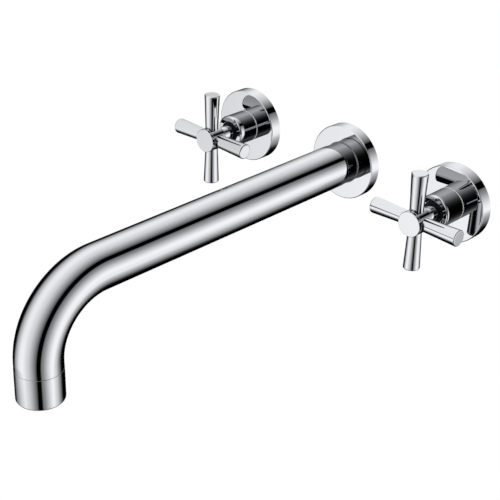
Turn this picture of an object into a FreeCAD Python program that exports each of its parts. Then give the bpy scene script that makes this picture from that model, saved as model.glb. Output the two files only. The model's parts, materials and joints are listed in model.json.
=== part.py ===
import FreeCAD, Part
import os
from types import SimpleNamespace

import Sketcher
from FreeCAD import Placement, Rotation, Vector

# Wall mount tub faucet: two cross handles on quarter-turn valves and a long bent spout.
# Millimetres. The finished wall is the plane Y = 0, out of the wall is -Y, up is +Z, and the
# spout's axis goes through the origin. Distances along an axis are counted out of the wall.

sizes = {
    # where things stand
    "handle_spacing": 203.2,
    "spout_reach": 303.0,
    "outlet_drop": 77.4,
    "outlet_seam_drop": 54.3,
    "bend_radius": 50.0,
    # fits
    "fit_gap": 0.05,
    "running_gap": 0.06,
    "lapped_gap": 0.02,
    "end_gap": 0.2,
    "overcut": 1.0,
    # flanges on the wall
    "flange_dia": 58.5,
    "flange_rim": 2.0,
    "flange_plate": 2.2,
    "flange_round": 0.8,
    "handle_flange_depth": 9.5,
    "spout_flange_depth": 8.5,
    "gasket_width": 3.0,
    "gasket_thickness": 2.0,
    "flange_hole_chamfer": 0.3,
    # sleeve behind each handle
    "sleeve_dia": 25.6,
    "sleeve_front": 28.4,
    "sleeve_lip": 0.5,
    "sleeve_hole_dia": 16.8,
    "sleeve_round": 1.4,
    "sleeve_back_round": 0.4,
    "dust_seal_thickness": 1.2,
    # thin light rings on the faces of the flanges
    "trim_thickness": 0.4,
    "trim_overhang": 0.1,
    "trim_width": 0.55,
    # handle
    "handle_front": 56.8,
    "hub_dia": 18.7,
    "hub_back": 41.5,
    "hub_round": 1.2,
    "neck_dia": 12.0,
    "neck_back": 24.0,
    "cap_thickness": 2.2,
    "cap_round": 0.4,
    "cap_plug_dia": 8.3,
    "cap_plug_length": 4.0,
    "cap_seal_section": 0.8,
    "arm_plane": 48.8,
    "arm_reach": 37.0,
    "arm_tip_dia": 12.3,
    "arm_root_dia": 10.0,
    "arm_root_start": 6.0,
    "arm_round": 1.0,
    "stud_dia": 5.0,
    "stud_depth": 3.6,
    "screw_dia": 4.0,
    "screw_head_dia": 7.0,
    "screw_head_height": 4.0,
    "screw_grip": 10.0,
    "screw_socket_flats": 3.0,
    "screw_socket_depth": 2.2,
    "screw_web": 3.3,
    # spindle
    "spindle_dia": 8.0,
    "spindle_front": 40.0,
    "spindle_tap_depth": 12.0,
    "spline_length": 10.0,
    "spline_depth": 0.5,
    "spline_width": 0.8,
    "driver_thickness": 4.0,
    "lug_width": 2.8,
    "lug_height": 1.8,
    "lug_depth": 1.1,
    "spindle_seal_section": 1.0,
    "spindle_seal_back": 3.5,
    "spindle_seal_pitch": 5.0,
    "seal_groove_play": 0.1,
    "clip_dia": 11.2,
    "clip_thickness": 0.9,
    "clip_grip": 0.8,
    "clip_mouth": 4.0,
    # ceramic cartridge
    "disc_dia": 13.0,
    "disc_thickness": 3.5,
    "disc_port_dia": 4.2,
    "disc_port_place": 3.6,
    "thrust_thickness": 1.0,
    "seat_seal_thickness": 3.0,
    "bonnet_dia": 16.6,
    "bonnet_front": 22.0,
    "bonnet_foot_gap": 2.0,
    "bonnet_hex_flats": 18.0,
    "bonnet_hex_height": 4.0,
    "bonnet_boss_dia": 12.0,
    "bonnet_seal_section": 1.2,
    "bonnet_seal_back": 3.2,
    "window_width": 7.0,
    "window_height": 7.0,
    # valve body in the wall
    "valve_neck_front": 16.0,
    "thread_dia": 20.96,
    "shoulder_depth": 20.0,
    "valve_dia": 27.0,
    "outlet_depth": 33.0,
    "seat_depth": 42.0,
    "seat_thickness": 4.0,
    "seat_hole_dia": 9.0,
    "inlet_depth": 53.0,
    "inlet_reach": 45.0,
    "inlet_flats": 23.0,
    "inlet_flats_reach": 21.0,
    "inlet_bore_dia": 14.0,
    "inlet_chamber_dia": 16.0,
    "inlet_chamber_height": 16.0,
    "outlet_chamber_dia": 21.6,
    "outlet_chamber_height": 15.0,
    "valve_back_depth": 68.0,
    "stub_dia": 21.0,
    "stub_reach": 27.0,
    "tube_socket_depth": 11.0,
    "crossover_dia": 15.88,
    "crossover_wall": 1.04,
    # tee and nipple behind the spout
    "tee_dia": 28.0,
    "tee_front_depth": 12.0,
    "tee_back_depth": 48.0,
    "tee_back_wall": 5.0,
    "tee_reach": 26.0,
    "tee_socket_depth": 11.0,
    "nipple_front": 22.0,
    "nipple_bore_dia": 14.0,
    "nipple_seal_section": 1.6,
    "nipple_seal_back": 3.5,
    "nipple_seal_pitch": 4.0,
    # spout
    "tube_dia": 32.5,
    "tube_wall": 1.5,
    "tube_back": 19.8,
    "tube_round": 1.0,
    "collar_dia": 31.8,
    "collar_back": 1.5,
    "collar_seam": 0.3,
    "flange_slip": 0.3,
    "flange_seal_section": 1.6,
    "socket_front": 44.0,
    "socket_stop": 24.0,
    "socket_bore_dia": 16.0,
    "grub_dia": 5.0,
    "grub_place": 15.0,
    "grub_length": 4.6,
    "grub_socket_flats": 2.5,
    "grub_socket_depth": 2.0,
    # outlet
    "aerator_dia": 32.8,
    "aerator_round": 1.2,
    "aerator_seam": 0.15,
    "aerator_spigot": 4.0,
    "aerator_bore_dia": 20.0,
    "aerator_recess_dia": 24.0,
    "aerator_recess_depth": 17.4,
    "aerator_washer_width": 2.5,
    "aerator_washer_thickness": 2.0,
    "mesh_thickness": 0.6,
    "mesh_hole_dia": 1.1,
    "insert_height": 12.6,
    "insert_wall": 1.6,
    "insert_plate": 3.0,
    "insert_hole_dia": 2.0,
    "hole_ring_pitch": 3.0,
    # steel plate at the back
    "plate_thickness": 3.0,
    "plate_length": 264.0,
    "plate_height": 34.0,
    "plate_hole_dia": 5.5,
    "plate_hole_inset": 10.0,
    "plate_hole_spacing_z": 20.0,
    "plate_screw_dia": 5.0,
    "plate_screw_head_dia": 9.0,
    "plate_screw_head_height": 2.0,
    "plate_screw_length": 7.5,
    "plate_screw_place": 9.0,
}

doc = FreeCAD.newDocument("wall_mount_tub_faucet")
sheet = doc.addObject("Spreadsheet::Sheet", "Sizes")
for row, (name, number) in enumerate(sizes.items(), start=1):
    sheet.set(f"A{row}", name)
    sheet.set(f"B{row}", str(number))
    sheet.setAlias(f"B{row}", name)
doc.recompute()


class Size:
    """A length in millimetres together with the sheet expression that drives it."""

    def __init__(self, value, text):
        self.value = value
        self.text = text

    def combine(self, sign, other, value):
        text = other.text if isinstance(other, Size) else repr(other)
        return Size(value, f"({self.text} {sign} {text})")

    def __add__(self, other):
        return self.combine("+", other, self.value + number_of(other))

    def __sub__(self, other):
        return self.combine("-", other, self.value - number_of(other))

    def __mul__(self, other):
        return self.combine("*", other, self.value * number_of(other))

    def __truediv__(self, other):
        return self.combine("/", other, self.value / number_of(other))

    def __neg__(self):
        return Size(-self.value, f"(-1 * {self.text})")


def number_of(length):
    return length.value if isinstance(length, Size) else length


size = SimpleNamespace(**{name: Size(number, f"Sizes.{name}") for name, number in sizes.items()})
pieces = []

# Places that several pieces share, counted out of the wall along the handle's axis.
half_spacing = size.handle_spacing / 2
seat = -size.seat_depth
seal_front = seat + size.seat_seal_thickness
fixed_disc_front = seal_front + size.disc_thickness
moving_disc_back = fixed_disc_front + size.lapped_gap
moving_disc_front = moving_disc_back + size.disc_thickness
driver_front = moving_disc_front + size.driver_thickness
thrust_back = driver_front + size.lapped_gap
thrust_front = thrust_back + size.thrust_thickness
hub_socket_front = size.spindle_front + size.end_gap
screw_seat = hub_socket_front + size.screw_web
cap_back = size.handle_front - size.cap_thickness
hub_front = cap_back - size.end_gap
clip_back = size.bonnet_front + size.running_gap

# Radii that several pieces share.
hub_radius = size.hub_dia / 2
spindle_radius = size.spindle_dia / 2
spindle_bore = spindle_radius + size.running_gap
disc_radius = size.disc_dia / 2
bonnet_bore = disc_radius + size.running_gap
bonnet_radius = size.bonnet_dia / 2
bonnet_seat = bonnet_radius + size.fit_gap
thread_radius = size.thread_dia / 2
thread_hole = thread_radius + size.fit_gap
crossover_radius = size.crossover_dia / 2
crossover_bore = crossover_radius - size.crossover_wall
crossover_socket = crossover_radius + size.fit_gap
cap_bore = size.cap_plug_dia / 2 + size.fit_gap
clip_inner = spindle_radius - size.clip_grip + size.fit_gap
tube_radius = size.tube_dia / 2
tube_bore = tube_radius - size.tube_wall
collar_radius = size.collar_dia / 2
spout_flange_hole = collar_radius + size.flange_slip
recess_radius = size.aerator_recess_dia / 2
insert_radius = recess_radius - size.fit_gap
grub_hole = size.grub_dia / 2 + size.fit_gap

turns = {
    "X": Rotation(Vector(0, 1, 0), 90),
    "-X": Rotation(Vector(0, 1, 0), -90),
    "Y": Rotation(Vector(1, 0, 0), -90),
    "-Y": Rotation(Vector(1, 0, 0), 90),
    "Z": Rotation(),
    "-Z": Rotation(Vector(1, 0, 0), 180),
}


def bind(item, setting, length):
    """Set a length and tie it to the sheet."""
    setattr(item, setting, number_of(length))
    if isinstance(length, Size):
        item.setExpression(setting, length.text)


def put(item, place, rotation):
    """Stand an object at a place whose coordinates follow the sheet."""
    item.Placement = Placement(Vector(*[number_of(c) for c in place]), rotation)
    for letter, coordinate in zip("xyz", place):
        if isinstance(coordinate, Size):
            item.setExpression(f"Placement.Base.{letter}", coordinate.text)


def finish(item, label, place=(0, 0, 0), rotation=turns["-Y"]):
    """Name a finished piece and set it in its place. The usual turn lays its axis out of the wall."""
    item.Label = label
    put(item, place, rotation)
    pieces.append(item)


def plane_of(body, role):
    return [item for item in body.Origin.OriginFeatures if item.Role == role][0]


def new_sketch(body, role, name, lift=0):
    """A sketch on one of the body's own planes, lifted along the plane's normal."""
    sketch = body.newObject("Sketcher::SketchObject", name)
    sketch.AttachmentSupport = (plane_of(body, role), [""])
    sketch.MapMode = "FlatFace"
    if isinstance(lift, Size):
        sketch.AttachmentOffset = Placement(Vector(0, 0, lift.value), Rotation())
        sketch.setExpression("AttachmentOffset.Base.z", lift.text)
    return sketch


def hold(sketch, direction, element, end, coordinate):
    """Hold one end of a sketch element at a coordinate counted from the sketch's origin."""
    if number_of(coordinate) == 0:
        axis = -2 if direction == "X" else -1
        sketch.addConstraint(Sketcher.Constraint("PointOnObject", element, end, axis))
        return
    rule = Sketcher.Constraint("Distance" + direction, -1, 1, element, end, number_of(coordinate))
    index = sketch.addConstraint(rule)
    if isinstance(coordinate, Size):
        sketch.setExpression(f"Constraints[{index}]", coordinate.text)


def draw_outline(sketch, corners):
    """A closed outline of straight lines with every corner held."""
    points = [Vector(number_of(c[0]), number_of(c[1]), 0) for c in corners]
    count = len(points)
    for index in range(count):
        sketch.addGeometry(Part.LineSegment(points[index], points[(index + 1) % count]), False)
    for index in range(count):
        sketch.addConstraint(Sketcher.Constraint("Coincident", index, 2, (index + 1) % count, 1))
    for index, corner in enumerate(corners):
        hold(sketch, "X", index, 1, corner[0])
        hold(sketch, "Y", index, 1, corner[1])


def draw_circle(sketch, radius, across=0, up=0):
    centre = Vector(number_of(across), number_of(up), 0)
    circle = sketch.addGeometry(Part.Circle(centre, Vector(0, 0, 1), number_of(radius)), False)
    index = sketch.addConstraint(Sketcher.Constraint("Radius", circle, number_of(radius)))
    if isinstance(radius, Size):
        sketch.setExpression(f"Constraints[{index}]", radius.text)
    if number_of(across) == 0 and number_of(up) == 0:
        sketch.addConstraint(Sketcher.Constraint("Coincident", circle, 3, -1, 1))
        return
    hold(sketch, "X", circle, 3, across)
    hold(sketch, "Y", circle, 3, up)


def round_edges(body, base, circles, radius):
    """Round the circular edges that lie at the given (radius, place along Z) pairs."""
    names = []
    for index, edge in enumerate(base.Shape.Edges, start=1):
        if not isinstance(edge.Curve, Part.Circle):
            continue
        for edge_radius, along in circles:
            same_radius = abs(edge.Curve.Radius - number_of(edge_radius)) < 1e-4
            if same_radius and abs(edge.Curve.Center.z - number_of(along)) < 1e-4:
                names.append(f"Edge{index}")
    fillet = body.newObject("PartDesign::Fillet", "Round")
    fillet.Base = (base, names)
    bind(fillet, "Radius", radius)
    doc.recompute()
    return fillet


def turned(name, outline):
    """A turned body about its own Z axis. Corners are (radius, along) or (radius, along, rounding)."""
    body = doc.addObject("PartDesign::Body", name)
    sketch = new_sketch(body, "XZ_Plane", "Outline")
    draw_outline(sketch, outline)
    turn = body.newObject("PartDesign::Revolution", "Turn")
    turn.Profile = sketch
    turn.ReferenceAxis = (sketch, ["V_Axis"])
    turn.Angle = 360
    doc.recompute()
    last = turn
    for corner in outline:
        if len(corner) == 3:
            last = round_edges(body, last, [corner[:2]], corner[2])
    return body


def ring(name, inner, outer, back, front):
    return turned(name, [(inner, back), (outer, back), (outer, front), (inner, front)])


def rod(name, radius, length, start=(0, 0, 0), direction="Z"):
    item = doc.addObject("Part::Cylinder", name)
    bind(item, "Radius", radius)
    bind(item, "Height", length)
    put(item, start, turns[direction])
    return item


def block(name, length, width, height, corner):
    item = doc.addObject("Part::Box", name)
    bind(item, "Length", length)
    bind(item, "Width", width)
    bind(item, "Height", height)
    put(item, corner, Rotation())
    return item


def hexagon(name, flats, height, back):
    """A six-sided prism along Z, sized across its flats."""
    item = doc.addObject("Part::Prism", name)
    item.Polygon = 6
    bind(item, "Circumradius", flats / 3 ** 0.5)
    bind(item, "Height", height)
    put(item, (0, 0, back), Rotation())
    return item


def torus(name, middle, section, along):
    """An O-ring about the Z axis."""
    item = doc.addObject("Part::Torus", name)
    bind(item, "Radius1", middle)
    bind(item, "Radius2", section / 2)
    put(item, (0, 0, along), Rotation())
    return item


def joined(name, items):
    item = doc.addObject("Part::MultiFuse", name)
    item.Shapes = items
    return item


def cut(name, base, tools):
    item = doc.addObject("Part::Cut", name)
    item.Base = base
    item.Tool = tools[0] if len(tools) == 1 else joined(name + "_tools", tools)
    return item


def group(name, items):
    """Several separate solids that make one node."""
    item = doc.addObject("Part::Compound", name)
    item.Links = items
    return item


def groove(outer, floor, back, front):
    """Corners of a groove, walked outwards along a turned outline."""
    return [(outer, back), (floor, back), (floor, front), (outer, front)]


def shaft_seal(bore, section):
    """Middle radius of an O-ring on a shaft inside a bore, and the floor of its groove."""
    middle = bore - section / 2 - size.lapped_gap
    return middle, middle - section / 2 - size.lapped_gap


def seal_places(first, pitch):
    return [first, first + pitch]


def wall_flange(label, depth, hole, across):
    """A cup-shaped flange with a step behind its rim for the gasket."""
    outer = size.flange_dia / 2
    inner = outer - size.flange_rim
    step = inner - size.gasket_width
    chamfer = size.flange_hole_chamfer
    outline = [
        (outer, 0),
        (outer, depth, size.flange_round),
        (hole + chamfer, depth),
        (hole, depth - chamfer),
        (hole, depth - size.flange_plate),
        (step, depth - size.flange_plate),
        (step, size.gasket_thickness),
        (inner, size.gasket_thickness),
        (inner, 0),
    ]
    finish(turned(label, outline), label, (across, 0, 0))
    gasket = ring(label + "_gasket", step, inner - size.fit_gap, 0, size.gasket_thickness)
    finish(gasket, label + "_gasket", (across, 0, 0))


def handle_sleeve(side, across):
    """The sleeve clamps the flange through a washer. A seal in its mouth keeps dust out."""
    outer = size.sleeve_dia / 2
    hole = size.sleeve_hole_dia / 2
    washer_back = size.handle_flange_depth + size.lapped_gap
    washer_front = washer_back + size.trim_thickness
    back = washer_front + size.lapped_gap
    lip_back = size.sleeve_front - size.sleeve_lip
    outline = [
        (thread_hole, back),
        (outer, back, size.sleeve_back_round),
        (outer, size.sleeve_front, size.sleeve_round),
        (hole, size.sleeve_front),
        (hole, lip_back),
        (thread_hole, lip_back),
    ]
    finish(turned(side + "_sleeve", outline), side + "_sleeve", (across, 0, 0))
    edge = outer + size.trim_overhang
    washer = ring(side + "_sleeve_washer", thread_hole, edge, washer_back, washer_front)
    finish(washer, side + "_sleeve_washer", (across, 0, 0))
    neck_hole = size.neck_dia / 2 + size.running_gap
    front = lip_back - size.fit_gap
    seal = ring(
        side + "_dust_seal",
        neck_hole,
        thread_hole - size.fit_gap,
        front - size.dust_seal_thickness,
        front,
    )
    finish(seal, side + "_dust_seal", (across, 0, 0))


def handle_hub(side, across):
    """The hub takes the spindle from behind, the screw from the front and four arm studs."""
    neck = size.neck_dia / 2
    screw_hole = size.screw_dia / 2 + size.fit_gap
    outline = [
        (spindle_radius + size.fit_gap, size.neck_back),
        (neck, size.neck_back),
        (neck, size.hub_back, size.hub_round),
        (hub_radius, size.hub_back, size.hub_round),
        (hub_radius, hub_front),
        (cap_bore, hub_front),
        (cap_bore, screw_seat),
        (screw_hole, screw_seat),
        (screw_hole, hub_socket_front),
        (spindle_radius + size.fit_gap, hub_socket_front),
    ]
    blank = turned(side + "_hub_blank", outline)
    floor = hub_radius - size.stud_depth - size.end_gap
    depth = size.stud_depth + size.end_gap + size.overcut
    starts = {
        "X": (floor, 0, size.arm_plane),
        "-X": (-floor, 0, size.arm_plane),
        "Y": (0, floor, size.arm_plane),
        "-Y": (0, -floor, size.arm_plane),
    }
    stud_hole = size.stud_dia / 2 + size.fit_gap
    holes = [
        rod(f"{side}_stud_hole_{index}", stud_hole, depth, starts[direction], direction)
        for index, direction in enumerate(starts)
    ]
    finish(cut(side + "_handle_hub", blank, holes), side + "_handle_hub", (across, 0, 0))


def handle_arm(side, across, direction, angle):
    """An arm grows thicker towards its tip. Its root is saddled to the hub and carries a stud."""
    name = f"{side}_arm_{direction}"
    outline = [
        (0, size.arm_root_start),
        (size.arm_root_dia / 2, size.arm_root_start),
        (size.arm_tip_dia / 2, size.arm_reach, size.arm_round),
        (0, size.arm_reach),
    ]
    taper = turned(name + "_taper", outline)
    start = (0, -size.hub_dia, 0)
    saddle = rod(name + "_saddle", hub_radius + size.fit_gap, size.hub_dia * 2, start, "Y")
    stud_start = (0, 0, hub_radius - size.stud_depth)
    stud = rod(name + "_stud", size.stud_dia / 2, size.stud_depth * 2, stud_start)
    arm = joined(name, [cut(name + "_saddled", taper, [saddle]), stud])
    finish(arm, name, (across, -size.arm_plane, 0), Rotation(Vector(0, 1, 0), angle))


def index_cap(side, across):
    """A plain cap pushed into the hub, held by an O-ring on its plug."""
    plug = size.cap_plug_dia / 2
    plug_back = cap_back - size.cap_plug_length
    middle, floor = shaft_seal(cap_bore, size.cap_seal_section)
    along = plug_back + size.cap_plug_length / 2
    half = size.cap_seal_section / 2 + size.seal_groove_play
    outline = [(0, plug_back), (plug, plug_back)]
    outline += groove(plug, floor, along - half, along + half)
    outline += [
        (plug, cap_back),
        (hub_radius, cap_back),
        (hub_radius, size.handle_front, size.cap_round),
        (0, size.handle_front),
    ]
    finish(turned(side + "_index_cap", outline), side + "_index_cap", (across, 0, 0))
    seal = torus(side + "_cap_seal", middle, size.cap_seal_section, along)
    finish(group(side + "_cap_oring", [seal]), side + "_cap_oring", (across, 0, 0))


def handle_screw(side, across):
    """The screw pulls the hub onto the spindle."""
    shank = size.screw_dia / 2
    head = size.screw_head_dia / 2
    head_front = screw_seat + size.screw_head_height
    tip = size.spindle_front - size.screw_grip
    outline = [
        (0, tip),
        (shank, tip),
        (shank, screw_seat),
        (head, screw_seat),
        (head, head_front),
        (0, head_front),
    ]
    blank = turned(side + "_screw_blank", outline)
    socket_back = head_front - size.screw_socket_depth
    socket_height = size.screw_socket_depth + size.overcut
    socket = hexagon(side + "_screw_socket", size.screw_socket_flats, socket_height, socket_back)
    finish(cut(side + "_handle_screw", blank, [socket]), side + "_handle_screw", (across, 0, 0))


def spindle(side, across):
    """The spindle carries its O-rings and a clip, and drives the upper disc with two lugs."""
    driver = disc_radius - size.lapped_gap
    tap = size.screw_dia / 2 + size.fit_gap
    tap_floor = size.spindle_front - size.spindle_tap_depth
    middle, floor = shaft_seal(spindle_bore, size.spindle_seal_section)
    half = size.spindle_seal_section / 2 + size.seal_groove_play
    places = seal_places(size.spindle_seal_back, size.spindle_seal_pitch)
    outline = [(0, moving_disc_front), (driver, moving_disc_front), (driver, driver_front)]
    outline += [(spindle_radius, driver_front)]
    for along in places:
        outline += groove(spindle_radius, floor, along - half, along + half)
    clip_floor = spindle_radius - size.clip_grip
    clip_front = clip_back + size.clip_thickness
    outline += groove(spindle_radius, clip_floor, clip_back - size.lapped_gap, clip_front + size.lapped_gap)
    outline += [
        (spindle_radius, size.spindle_front),
        (tap, size.spindle_front),
        (tap, tap_floor),
        (0, tap_floor),
    ]
    body = turned(side + "_spindle_shaft", outline)
    add_splines(body)
    lugs = driver_lugs(side, driver)
    finish(joined(side + "_spindle", [body] + lugs), side + "_spindle", (across, 0, 0))
    seals = [
        torus(f"{side}_spindle_seal_{index}", middle, size.spindle_seal_section, along)
        for index, along in enumerate(places)
    ]
    finish(group(side + "_spindle_orings", seals), side + "_spindle_orings", (across, 0, 0))
    spindle_clip(side, across, clip_front)


def add_splines(body):
    """V-shaped splines around the spindle's front end."""
    shaft = body.Tip
    sketch = new_sketch(body, "XY_Plane", "Spline", size.spindle_front)
    crest = spindle_radius + size.spline_depth
    root = spindle_radius - size.spline_depth
    half = size.spline_width
    draw_outline(sketch, [(root, 0), (crest, -half), (crest, half)])
    valley = body.newObject("PartDesign::Pocket", "SplineValley")
    valley.Profile = sketch
    bind(valley, "Length", size.spline_length)
    doc.recompute()
    pattern = body.newObject("PartDesign::PolarPattern", "Splines")
    pattern.Originals = [valley]
    pattern.Axis = (plane_of(body, "Z_Axis"), [""])
    pattern.Angle = 360
    pattern.Occurrences = 20
    body.Tip = pattern
    doc.recompute()
    if pattern.Shape.Volume >= shaft.Shape.Volume:
        raise RuntimeError("the splines cut nothing")


def driver_lugs(side, driver):
    """Two lugs on the driver that reach into the notches of the upper disc."""
    back = moving_disc_front - size.lug_height
    height = size.lug_height + size.overcut
    inner = driver - size.lug_depth - size.end_gap
    half = size.lug_width / 2
    return [
        block(side + "_lug_right", size.lug_depth, size.lug_width, height, (inner, -half, back)),
        block(
            side + "_lug_left",
            size.lug_depth,
            size.lug_width,
            height,
            (-inner - size.lug_depth, -half, back),
        ),
    ]


def spindle_clip(side, across, front):
    name = side + "_spindle_clip"
    blank = ring(name + "_blank", clip_inner, size.clip_dia / 2, clip_back, front)
    corner = (-size.clip_mouth / 2, 0, clip_back - size.overcut)
    mouth = block(
        name + "_mouth",
        size.clip_mouth,
        size.clip_dia,
        size.clip_thickness + size.overcut * 2,
        corner,
    )
    finish(cut(name, blank, [mouth]), name, (across, 0, 0))


def ceramic_discs(side, across):
    """Two ported discs. The ports are a quarter turn apart while the valve is shut."""
    back = seal_front
    blank = turned(
        side + "_fixed_blank",
        [(0, back), (disc_radius, back), (disc_radius, fixed_disc_front), (0, fixed_disc_front)],
    )
    ports = disc_ports(side + "_fixed", back, across_x=True)
    finish(cut(side + "_fixed_disc", blank, ports), side + "_fixed_disc", (across, 0, 0))

    back = moving_disc_back
    blank = turned(
        side + "_moving_blank",
        [(0, back), (disc_radius, back), (disc_radius, moving_disc_front), (0, moving_disc_front)],
    )
    ports = disc_ports(side + "_moving", back, across_x=False)
    notches = disc_notches(side)
    finish(cut(side + "_moving_disc", blank, ports + notches), side + "_moving_disc", (across, 0, 0))


def disc_ports(name, back, across_x):
    start = back - size.overcut
    length = size.disc_thickness + size.overcut * 2
    radius = size.disc_port_dia / 2
    far = size.disc_port_place
    places = [(far, 0), (-far, 0)] if across_x else [(0, far), (0, -far)]
    return [
        rod(f"{name}_port_{index}", radius, length, (x, y, start))
        for index, (x, y) in enumerate(places)
    ]


def disc_notches(side):
    """Notches for the driver's lugs, wider than the lugs by the end gap."""
    back = moving_disc_front - size.lug_height - size.end_gap
    height = size.lug_height + size.end_gap + size.overcut
    inner = disc_radius - size.lapped_gap - size.lug_depth - size.end_gap * 2
    width = size.lug_width + size.fit_gap * 2
    length = size.lug_depth + size.end_gap * 2 + size.overcut
    return [
        block(side + "_notch_right", length, width, height, (inner, -(width / 2), back)),
        block(side + "_notch_left", length, width, height, (-inner - length, -(width / 2), back)),
    ]


def cartridge_bonnet(side, across):
    """The bonnet holds the discs in its skirt and the spindle in its bore."""
    back = seat + size.bonnet_foot_gap
    hex_back = size.valve_neck_front
    hex_front = hex_back + size.bonnet_hex_height
    middle, floor = shaft_seal(bonnet_seat, size.bonnet_seal_section)
    along = hex_back - size.bonnet_seal_back
    half = size.bonnet_seal_section / 2 + size.seal_groove_play
    outline = [(0, back), (bonnet_radius, back)]
    outline += groove(bonnet_radius, floor, along - half, along + half)
    outline += [
        (bonnet_radius, hex_front),
        (size.bonnet_boss_dia / 2, hex_front),
        (size.bonnet_boss_dia / 2, size.bonnet_front),
        (0, size.bonnet_front),
    ]
    blank = turned(side + "_bonnet_blank", outline)
    nut = hexagon(side + "_bonnet_nut", size.bonnet_hex_flats, size.bonnet_hex_height, hex_back)
    hollow = turned(
        side + "_bonnet_hollow",
        [
            (0, back - size.overcut),
            (bonnet_bore, back - size.overcut),
            (bonnet_bore, thrust_front),
            (spindle_bore, thrust_front),
            (spindle_bore, size.bonnet_front + size.overcut),
            (0, size.bonnet_front + size.overcut),
        ],
    )
    window_back = fixed_disc_front - size.lapped_gap
    corner = (-size.window_width / 2, -size.bonnet_dia, window_back)
    window = block(
        side + "_window", size.window_width, size.bonnet_dia * 2, size.window_height, corner
    )
    solid = joined(side + "_bonnet_solid", [blank, nut])
    name = side + "_cartridge_bonnet"
    finish(cut(name, solid, [hollow, window]), name, (across, 0, 0))
    seal = torus(side + "_bonnet_seal", middle, size.bonnet_seal_section, along)
    finish(group(side + "_bonnet_oring", [seal]), side + "_bonnet_oring", (across, 0, 0))


def cartridge_rings(side, across):
    """The thrust washer above the driver and the rubber seal under the fixed disc."""
    washer = ring(side + "_thrust_washer", spindle_bore, disc_radius, thrust_back, thrust_front)
    finish(washer, side + "_thrust_washer", (across, 0, 0))
    inner = size.seat_hole_dia / 2
    seal = ring(side + "_seat_seal", inner, disc_radius, seat, seal_front)
    finish(seal, side + "_seat_seal", (across, 0, 0))


def valve_body(side, across, inwards):
    """Water comes in from below, passes the seat and the discs, and leaves towards the spout."""
    radius = size.valve_dia / 2
    back = -size.valve_back_depth
    shoulder = -size.shoulder_depth
    front = size.valve_neck_front
    barrel = turned(
        side + "_barrel",
        [
            (0, back),
            (radius, back),
            (radius, shoulder),
            (thread_radius, shoulder),
            (thread_radius, front),
            (0, front),
        ],
    )
    inlet_place = (0, 0, -size.inlet_depth)
    outlet_place = (0, 0, -size.outlet_depth)
    inlet = rod(side + "_inlet", thread_radius, size.inlet_reach, inlet_place, "-Y")
    outlet = rod(side + "_outlet", size.stub_dia / 2, size.stub_reach, outlet_place, inwards)
    flats = hexagon(side + "_inlet_flats", size.inlet_flats, size.inlet_flats_reach, 0)
    put(flats, inlet_place, turns["-Y"])
    solid = joined(side + "_valve_solid", [barrel, inlet, flats, outlet])

    chamber_front = seat - size.seat_thickness
    chamber_back = chamber_front - size.inlet_chamber_height
    middle = -size.outlet_depth
    half = size.outlet_chamber_height / 2
    outline = [
        (0, chamber_back),
        (size.inlet_chamber_dia / 2, chamber_back),
        (size.inlet_chamber_dia / 2, chamber_front),
        (size.seat_hole_dia / 2, chamber_front),
        (size.seat_hole_dia / 2, seat),
        (bonnet_seat, seat),
    ]
    chamber = size.outlet_chamber_dia / 2
    outline += [
        (bonnet_seat, middle - half),
        (chamber, middle - half),
        (chamber, middle + half),
        (bonnet_seat, middle + half),
        (bonnet_seat, front + size.overcut),
        (0, front + size.overcut),
    ]
    hollow = turned(side + "_valve_hollow", outline)
    inlet_length = size.inlet_reach + size.overcut
    outlet_length = size.stub_reach + size.overcut
    inlet_bore = rod(side + "_inlet_bore", size.inlet_bore_dia / 2, inlet_length, inlet_place, "-Y")
    outlet_bore = rod(side + "_outlet_bore", crossover_bore, outlet_length, outlet_place, inwards)
    sign = 1 if inwards == "X" else -1
    socket_start = (size.stub_reach - size.tube_socket_depth) * sign
    socket = rod(
        side + "_outlet_socket",
        crossover_socket,
        size.tube_socket_depth + size.overcut,
        (socket_start, 0, -size.outlet_depth),
        inwards,
    )
    taps = [
        rod(
            f"{side}_plate_tap_{index}",
            size.plate_screw_dia / 2 + size.fit_gap,
            size.plate_screw_length - size.plate_thickness + size.end_gap + size.overcut,
            (0, size.plate_screw_place * way, back - size.overcut),
        )
        for index, way in enumerate((1, -1))
    ]
    body = cut(side + "_valve_body", solid, [hollow, inlet_bore, outlet_bore, socket] + taps)
    finish(body, side + "_valve_body", (across, 0, 0))


def crossover_tube(side, across, inwards):
    """A copper tube from the valve's outlet to the tee."""
    name = side + "_crossover_tube"
    far = half_spacing - size.stub_reach + size.tube_socket_depth - size.end_gap
    near = size.tee_reach - size.tee_socket_depth + size.end_gap
    tube = ring(name, crossover_bore, crossover_radius, near, far)
    outwards = "-X" if inwards == "X" else "X"
    finish(tube, name, (0, size.outlet_depth, 0), turns[outwards])


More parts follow.
